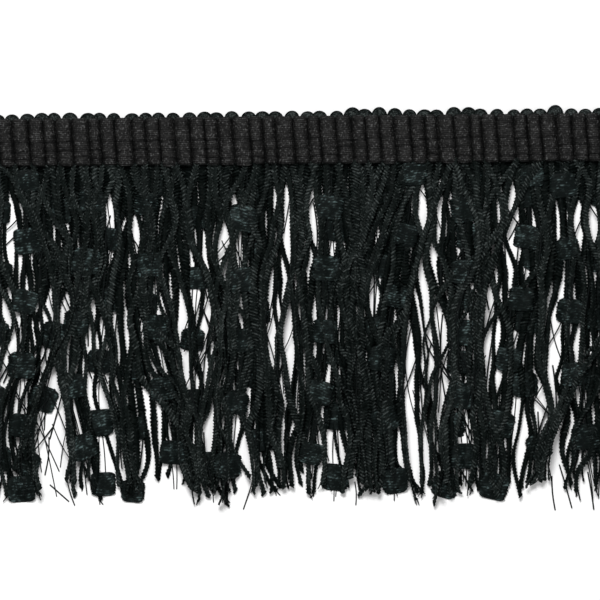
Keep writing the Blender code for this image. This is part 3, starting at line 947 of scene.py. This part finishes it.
def add_frays(skin, random, x, drop, height, lean):
    """Fibres that fray from the cut end of a cord."""
    for _ in range(FRAY_COUNT):
        length = random.uniform(*FRAY_LENGTH)
        share = np.linspace(0, 1, FRAY_POINTS)
        start = x + random.uniform(*FRAY_START)
        side = lean / LEAN_LENGTH * length + random.normal(0.0, FRAY_SPREAD) * length
        level = np.maximum(height * (1 - 0.5 * share), FRAY_RADIUS)
        across = start + side * share**FRAY_CURL
        y = HEADING_BOTTOM - drop + FRAY_OVERLAP - (length + FRAY_OVERLAP) * share
        rings = tube_rings(np.stack([across, y, level], axis=1), FRAY_RADIUS)
        skin.add_tube(rings, PLAIN_STITCH, random.random())


def make_loose_threads(material):
    """Single threads across the gaps, and the fibres at the cords' cut ends."""
    random = np.random.default_rng(LOOSE_SEED)
    skin = Skin()
    for thread in [*LOOSE_THREADS, *stray_threads(random), *gap_threads(random)]:
        length = math.hypot(thread.end_x - thread.x, thread.end_drop - thread.drop)
        share = np.linspace(0, 1, max(LEAST_POINTS, int(length / THREAD_STEP)))
        bow = random.uniform(*THREAD_BOW) * length * np.sin(math.pi * share)
        x = thread.x + (thread.end_x - thread.x) * share + bow
        drop = thread.drop + (thread.end_drop - thread.drop) * share
        add_thread(skin, x, drop, random.uniform(*LOOSE_RADIUS), random.random())
    for cord_end in CORD_ENDS:
        if random.random() <= FRAYED_SHARE:
            add_frays(skin, random, *cord_end)
    return skin.build("loose_threads", material)


# Heading

HEADING_SEED = 5
RIB_COLUMNS = 10
SPARE_RIBS = 3
RIB_PHASE = 0.3
RIB_LEAN = math.radians(4)
LEAN_PIVOT = -3.0

# Waves that the ribs' spacing strays by: reach in ribs, turn for each rib, and phase
RIB_WAVES = [(0.34, 1.7, 0.8), (0.2, 4.1, 0.0)]

# Section of a rib: fullness of its crown, and the rounding of both edges and how far in that reaches
CROWN_FULLNESS = 1.25
CROWN_CHANCE = 0.08
TOP_ROUNDING, TOP_REACH = 0.7, 0.9
FOOT_ROUNDING, FOOT_REACH = 0.5, 0.7
EDGE_HEIGHT = 0.9
EDGE_BOW, EDGE_INSET, EDGE_CHANCE = 0.25, 0.15, 0.22
EDGE_CUT, EDGE_SLACK = 0.1, 0.01

# Warp threads across the ribs, and the seam lines that tie them down
WARP_PITCH = 0.5
WARP_RELIEF = 0.05
WARP_CHANCE = 0.05
STITCH_LINES = (0.50, 0.68, 0.85)
SEAM_STRENGTH = (0.15, 1.0)
SEAM_SHIFT = 0.018
SEAM_SAG = 0.15
SEAM_WIDTH = 0.2
SEAM_DEPTH = 0.3
# Painted shade in the sunken seam lines and on each rib's sides toward its grooves
SEAM_PAINTED_SHADE = 1.2
GROOVE_PAINTED_SHADE = 0.15
BAND_WAVE, BAND_REACH, BAND_LENGTH = 4.0, 0.12, HEADING_DEPTH + 2


def rib_wobble(ribs):
    """How far the ribs stray from an even spacing; none do at the cut ends."""
    ends = np.minimum(1.0, np.minimum(ribs, RIB_COUNT - ribs) / 2)
    wobble = sum(reach * np.sin(rate * ribs + phase) for reach, rate, phase in RIB_WAVES)
    return np.clip(ends, 0, 1) * wobble


def make_heading(material):
    """The ribbed band as one closed skin: a ring of points across it at every column."""
    random = np.random.default_rng(HEADING_SEED)
    half = HEADING_DEPTH / 2
    rows = np.arange(half - EDGE_CUT, -half - EDGE_SLACK, -WARP_PITCH / 2)
    crest = np.where(np.arange(len(rows)) % 2 == 0, 1, -1)
    ribs = np.arange(0, RIB_COUNT * RIB_COLUMNS + 1) / RIB_COLUMNS + RIB_PHASE
    rib = np.floor(ribs).astype(int)
    rib_count = RIB_COUNT + SPARE_RIBS
    share = ribs - rib
    x = (ribs - RIB_PHASE - RIB_COUNT / 2) * RIB_PITCH + rib_wobble(ribs)
    depth_share = (half - rows) / HEADING_DEPTH
    crown = CROWN_HEIGHT + random.normal(0.0, CROWN_CHANCE, rib_count)[rib]
    swell = np.clip(np.sin(math.pi * share) * CROWN_FULLNESS, 0, 1)[:, None] ** 0.5
    rounding = TOP_ROUNDING * np.clip(1 - (half - rows) / TOP_REACH, 0, 1) ** 2
    rounding = rounding + FOOT_ROUNDING * np.clip(1 - (rows + half) / FOOT_REACH, 0, 1) ** 2
    height = GROOVE_HEIGHT + (crown - GROOVE_HEIGHT)[:, None] * swell - rounding
    height = height + WARP_RELIEF * crest * swell
    height = height + random.normal(0.0, WARP_CHANCE, height.shape) * swell
    dark = np.zeros(height.shape)
    strength = random.uniform(*SEAM_STRENGTH, (rib_count, len(STITCH_LINES)))
    shift = random.normal(0.0, SEAM_SHIFT, (rib_count, len(STITCH_LINES)))
    for line, place in enumerate(STITCH_LINES):
        sag = SEAM_SAG * np.sin(math.tau * share + line)
        distance = (depth_share - place - shift[rib, line][:, None]) * HEADING_DEPTH
        distance = distance - sag[:, None]
        seam = strength[rib, line][:, None] * np.exp(-((distance / SEAM_WIDTH) ** 2))
        height = height - SEAM_DEPTH * seam
        dark = np.maximum(dark, seam)
    lean = (LEAN_PIVOT - rows) * math.tan(RIB_LEAN)
    lean = lean + wander(random, len(rows), WARP_PITCH / 2, BAND_WAVE, BAND_REACH, BAND_LENGTH)
    edge = EDGE_BOW * np.sin(math.pi * share) - EDGE_INSET
    edge = edge + random.normal(0.0, EDGE_CHANCE, rib_count)[rib]
    # Painted light: highlight on each warp row's crest, painted shade between the rows, in the seams and
    # toward the grooves
    stitch = (0.5 + 0.5 * crest) * swell - SEAM_PAINTED_SHADE * dark
    stitch = stitch - GROOVE_PAINTED_SHADE * np.abs(2 * share[:, None] - 1) ** 3
    upper_y = np.broadcast_to(rows, height.shape).copy()
    upper_y[:, -1] -= edge
    upper = np.stack([x[:, None] + lean, upper_y, height], axis=-1)
    top = half - EDGE_CUT
    under_y = np.array([-half, -half, -half / 2, 0.0, half / 2, top, top])
    under = np.zeros((len(x), len(under_y), 3))
    under[..., 0] = x[:, None] + (LEAN_PIVOT - under_y) * math.tan(RIB_LEAN)
    under[..., 1] = under_y
    under[:, [0, -1], 2] = EDGE_HEIGHT
    rings = np.concatenate([upper, under], axis=1)
    stitch = np.concatenate([stitch, np.zeros((len(x), len(under_y)))], axis=1)
    skin = Skin()
    skin.add_tube(rings, stitch, PLAIN_TONE)
    return skin.build("heading_weave", material)


# Loops of the weft along the top edge: each is a fan of turns, the outermost first
LOOP_SEED = 9
LOOP_HALF_WIDTH = 1.75
LOOP_CHANCE = (0.9, 1.08)
LOOP_FLARE = (0.75, 0.2)
LOOP_RISE = 1.3
LOOP_RISE_CHANCE = 0.08
LOOP_LEVEL = 1.4
LEVEL_CHANCE = (-0.05, 0.05)
LOOP_SHIFT = 0.15
LOOP_SKEW = (-0.15, 0.15)
LOOP_SINK = 0.6
LOOP_BULGE = 0.3
LOOP_TURNS = (1.0, 0.84, 0.68, 0.5, 0.34, 0.18)
LOOP_ANGLES = np.linspace(math.radians(200), math.radians(-20), 17)
LOOP_RADIUS = 0.3
LOOP_SIDES = 6
LOOP_END_MARGIN = 2.5
# Painted highlight mottling on the turns, and how much darker the outermost turn is
LOOP_LIGHT = (0.3, 1.1)
OUTER_DARKNESS = 0.25
LOOP_TONE, OUTER_TONE_DROP = 0.8, 0.3


def loop_rise(x):
    """How far the loop at x stands out of the heading."""
    rise = LOOP_RISE
    for loop in PROUD_LOOPS:
        rise += loop.rise * max(0.0, 1 - ((x - loop.x) / loop.spread) ** 2)
    return rise


def make_loops(material):
    """The weft turns from each rib into the next, so a loop stands over every groove."""
    random = np.random.default_rng(LOOP_SEED)
    skin = Skin()
    top = HEADING_DEPTH / 2
    for groove in range(1, RIB_COUNT):
        middle = (groove - RIB_PHASE - RIB_COUNT / 2) * RIB_PITCH + float(rib_wobble(groove))
        middle += (LEAN_PIVOT - top) * math.tan(RIB_LEAN) + random.normal(0.0, LOOP_SHIFT)
        if abs(middle) > TRIM_LENGTH / 2 - LOOP_END_MARGIN:
            continue
        rise = loop_rise(middle) + random.normal(0.0, LOOP_RISE_CHANCE)
        flare = LOOP_FLARE[0] + LOOP_FLARE[1] * rise
        half_width = LOOP_HALF_WIDTH * random.uniform(*LOOP_CHANCE) * flare
        skew = random.uniform(*LOOP_SKEW)
        for turn in LOOP_TURNS:
            x = middle + turn * half_width * np.cos(LOOP_ANGLES) + skew * np.sin(LOOP_ANGLES)
            y = top - LOOP_SINK + turn * (rise + LOOP_BULGE) * np.sin(LOOP_ANGLES)
            z = LOOP_LEVEL + LOOP_BULGE * np.sin(LOOP_ANGLES) + random.uniform(*LEVEL_CHANCE)
            rings = tube_rings(np.stack([x, y, z], axis=1), LOOP_RADIUS, LOOP_SIDES)
            # Painted highlight mottled along each turn, weaker on the outermost
            stitch = random.uniform(*LOOP_LIGHT, rings.shape[:2]) * (1.0 - OUTER_DARKNESS * turn**4)
            skin.add_tube(rings, stitch, LOOP_TONE - OUTER_TONE_DROP * turn**4)
    return skin.build("heading_loops", material)


# Materials


class Recipe:
    """A material's node tree, with short calls for the nodes that these surfaces use."""

    def __init__(self, name):
        self.material = bpy.data.materials.new(name)
        self.material.use_nodes = True
        self.tree = self.material.node_tree
        self.shader = self.tree.nodes["Principled BSDF"]
        self.place = self.tree.nodes.new("ShaderNodeTexCoord").outputs["Object"]

    def node(self, kind, inputs, output, **settings):
        """Adds a node, sets or links its inputs, and returns one of its outputs."""
        made = self.tree.nodes.new(kind)
        for key, value in settings.items():
            setattr(made, key, value)
        for label, value in inputs.items():
            if isinstance(value, bpy.types.NodeSocket):
                self.tree.links.new(value, made.inputs[label])
            else:
                made.inputs[label].default_value = value
        return made.outputs[output]

    def attribute(self, label):
        return self.node("ShaderNodeAttribute", {}, "Fac", attribute_name=label)

    def stretched(self, *scale):
        return self.node("ShaderNodeMapping", {"Scale": scale, "Vector": self.place}, "Vector")

    def noise(self, vector, scale, detail):
        inputs = {"Vector": vector, "Scale": scale, "Detail": detail}
        return self.node("ShaderNodeTexNoise", inputs, "Fac")

    def ranged(self, value, low, high, to_low, to_high):
        inputs = {"Value": value, "From Min": low, "From Max": high, "To Min": to_low, "To Max": to_high}
        return self.node("ShaderNodeMapRange", inputs, "Result")

    def total(self, first, *others):
        """The sum of these values."""
        for other in others:
            first = self.node("ShaderNodeMath", {0: first, 1: other}, "Value", operation="ADD")
        return first

    def ramp(self, value, *stops):
        """A colour from the value: each stop is a place and a colour."""
        made = self.tree.nodes.new("ShaderNodeValToRGB")
        elements = made.color_ramp.elements
        while len(elements) < len(stops):
            elements.new(0.5)
        for element, (place, color) in zip(elements, stops):
            element.position = place
            element.color = (*color, 1.0)
        self.tree.links.new(value, made.inputs["Fac"])
        return made.outputs["Color"]

    def bump(self, value, distance, strength):
        inputs = {"Height": value, "Distance": distance, "Strength": strength}
        normal = self.node("ShaderNodeBump", inputs, "Normal")
        self.tree.links.new(normal, self.shader.inputs["Normal"])

    def finish(self, color, roughness, specular):
        self.tree.links.new(color, self.shader.inputs["Base Color"])
        self.tree.links.new(roughness, self.shader.inputs["Roughness"])
        self.shader.inputs["Specular IOR Level"].default_value = specular
        return self.material


def cord_material():
    """Satin black rayon: painted shade between the stitches, a painted green-blue highlight on their
    crests.
    """
    recipe = Recipe("chainette")
    fibres = recipe.noise(recipe.place, 3000.0, 3.0)
    patches = recipe.noise(recipe.place, 170.0, 2.0)
    # Painted light: highlight on the stitch crests, painted shade between them; the tone is random and,
    # in the lower layers, painted shade
    light = recipe.total(
        recipe.ranged(recipe.attribute("stitch"), 0.4, 0.92, 0.02, 0.72),
        recipe.ranged(recipe.attribute("tone"), 0, 1, -0.4, 0.26),
        recipe.ranged(fibres, 0.3, 0.7, -0.3, 0.36),
        recipe.ranged(patches, 0.35, 0.65, -0.12, 0.12),
    )
    color = recipe.ramp(
        light,
        (0.0, (0.0020, 0.0032, 0.0029)),
        (0.45, (0.0088, 0.0120, 0.0113)),
        (1.0, (0.052, 0.061, 0.059)),
    )
    recipe.bump(fibres, 0.00006, 0.7)
    rough = recipe.ranged(fibres, 0.3, 0.7, 0.35, 0.6)
    return recipe.finish(color, rough, 0.02)


def tab_material():
    """Woven flag: smoother yarn than the cords, with painted sheen along the floats of its picks and
    painted highlight flecks.
    """
    recipe = Recipe("flag_weave")
    floats_and_sheen = recipe.noise(recipe.stretched(0.4, 1.2, 1.0), 2300.0, 2.0)
    patches = recipe.noise(recipe.place, 420.0, 1.0)
    fibres = recipe.noise(recipe.place, 5200.0, 2.0)
    light = recipe.total(
        recipe.ranged(recipe.attribute("stitch"), 0.05, 0.9, 0.05, 0.85),
        recipe.ranged(recipe.attribute("tone"), 0, 1, -0.1, 0.12),
        # Painted sheen along the floats
        recipe.ranged(floats_and_sheen, 0.48, 0.68, -0.1, 0.25),
        recipe.ranged(patches, 0.35, 0.65, -0.3, 0.3),
        recipe.ranged(fibres, 0.3, 0.7, -0.2, 0.2),
    )
    color = recipe.ramp(
        light,
        (0.0, (0.0040, 0.0058, 0.0056)),
        (0.45, (0.0115, 0.0163, 0.0158)),
        (1.0, (0.076, 0.110, 0.109)),
    )
    recipe.bump(recipe.total(floats_and_sheen, fibres), 0.00007, 0.7)
    rough = recipe.ranged(floats_and_sheen, 0.4, 0.7, 0.5, 0.3)
    return recipe.finish(color, rough, 0.02)


def heading_material():
    """Dull warp threads packed side by side over each rib, with painted glints on a few fibres and
    painted highlight and shade on the ribs.
    """
    recipe = Recipe("heading_warp")
    threads = recipe.noise(recipe.stretched(0.35, 1.0, 0.6), 3200.0, 3.0)
    painted_glints = recipe.noise(recipe.stretched(1.0, 0.7, 1.0), 2300.0, 1.0)
    patches = recipe.noise(recipe.place, 330.0, 2.0)
    light = recipe.total(
        recipe.ranged(recipe.attribute("stitch"), -1.2, 1.0, -0.45, 0.42),
        recipe.ranged(threads, 0.3, 0.7, -0.3, 0.3),
        # Painted glints on a few fibres
        recipe.ranged(painted_glints, 0.52, 0.75, 0.0, 0.65),
        recipe.ranged(patches, 0.35, 0.65, -0.1, 0.1),
    )
    color = recipe.ramp(
        light,
        (0.0, (0.0014, 0.0016, 0.0016)),
        (0.45, (0.0133, 0.0132, 0.0129)),
        (1.0, (0.072, 0.074, 0.073)),
    )
    recipe.bump(recipe.total(threads, painted_glints), 0.00008, 0.8)
    rough = recipe.ranged(threads, 0.3, 0.7, 0.62, 0.85)
    return recipe.finish(color, rough, 0.12)


def thread_material():
    """Fine black carrier thread."""
    recipe = Recipe("carrier_thread")
    fibres = recipe.noise(recipe.place, 3000.0, 2.0)
    color = recipe.ramp(fibres, (0.3, (0.003, 0.004, 0.004)), (0.8, (0.012, 0.015, 0.015)))
    rough = recipe.ranged(fibres, 0.3, 0.7, 0.45, 0.6)
    return recipe.finish(color, rough, 0.05)


def floor_material():
    recipe = Recipe("pale_floor")
    grain = recipe.noise(recipe.place, 40.0, 2.0)
    color = recipe.ramp(grain, (0.0, (0.905, 0.905, 0.905)), (1.0, (0.915, 0.915, 0.915)))
    rough = recipe.ranged(grain, 0.0, 1.0, 0.85, 0.9)
    return recipe.finish(color, rough, 0.1)


# Floor, light and camera

FLOOR_HALF = 1.5

# The picture is 600 pixels wide, and the heading's middle lies 160 above its middle
PIXEL = 0.264
PICTURE_WIDTH = 600 * PIXEL
PICTURE_MIDDLE_Y = (140 - 300) * PIXEL
CAMERA_HEIGHT = 1300.0
CAMERA_ROLL = math.radians(-0.57)
CAMERA_REACH = 20.0
SENSOR = 36.0

# Lamps, in metres and watts
Lamp = namedtuple("Lamp", "name place size power")
LAMPS = [
    Lamp("softbox", (-0.12, 0.48, 0.80), 0.40, 9.5),
    Lamp("fill", (0.30, -0.60, 0.9), 0.5, 2.2),
]
LAMP_AIM = (0, -0.04, 0)
WORLD_STRENGTH = 0.32


def make_floor():
    mesh = bpy.data.meshes.new("floor")
    corners = [(-1, -1), (1, -1), (1, 1), (-1, 1)]
    mesh.from_pydata([(x * FLOOR_HALF, y * FLOOR_HALF, 0.0) for x, y in corners], [], [(0, 1, 2, 3)])
    mesh.materials.append(floor_material())
    placed("floor", mesh)


def make_lamp(lamp):
    data = bpy.data.lights.new(lamp.name, "AREA")
    data.shape = "DISK"
    data.size = lamp.size
    data.energy = lamp.power
    item = placed(lamp.name, data)
    item.location = lamp.place
    aim = Vector(LAMP_AIM) - Vector(lamp.place)
    item.rotation_euler = aim.to_track_quat("-Z", "Y").to_euler()


def make_stage():
    make_floor()
    for lamp in LAMPS:
        make_lamp(lamp)
    world = bpy.data.worlds.new("studio")
    world.use_nodes = True
    background = world.node_tree.nodes["Background"]
    background.inputs["Color"].default_value = (1.0, 1.0, 1.0, 1.0)
    background.inputs["Strength"].default_value = WORLD_STRENGTH
    bpy.context.scene.world = world
    bpy.context.scene.view_settings.view_transform = "Standard"


def make_camera():
    data = bpy.data.cameras.new("camera")
    data.sensor_width = SENSOR
    data.lens = SENSOR * CAMERA_HEIGHT / PICTURE_WIDTH
    data.clip_end = CAMERA_REACH
    item = placed("camera", data)
    item.location = (0.0, PICTURE_MIDDLE_Y * MM, CAMERA_HEIGHT * MM)
    item.rotation_euler = Euler((0.0, 0.0, CAMERA_ROLL))
    bpy.context.scene.camera = item


def dress(pieces, node):
    for piece in pieces:
        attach(piece, "root")
        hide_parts(node)


def main():
    cords, flags, threads = cord_material(), tab_material(), thread_material()
    heading = make_heading(heading_material())
    loops = make_loops(cords)
    for layer in LAYERS:
        if layer.count:
            dress([make_cords(layer, cords)], layer.node)
        else:
            dress(make_flags(layer, flags, threads), layer.node)
    dress([make_loose_threads(threads)], "fringe_front")
    dress([heading, loops], "heading")
    make_stage()
    make_camera()


main()
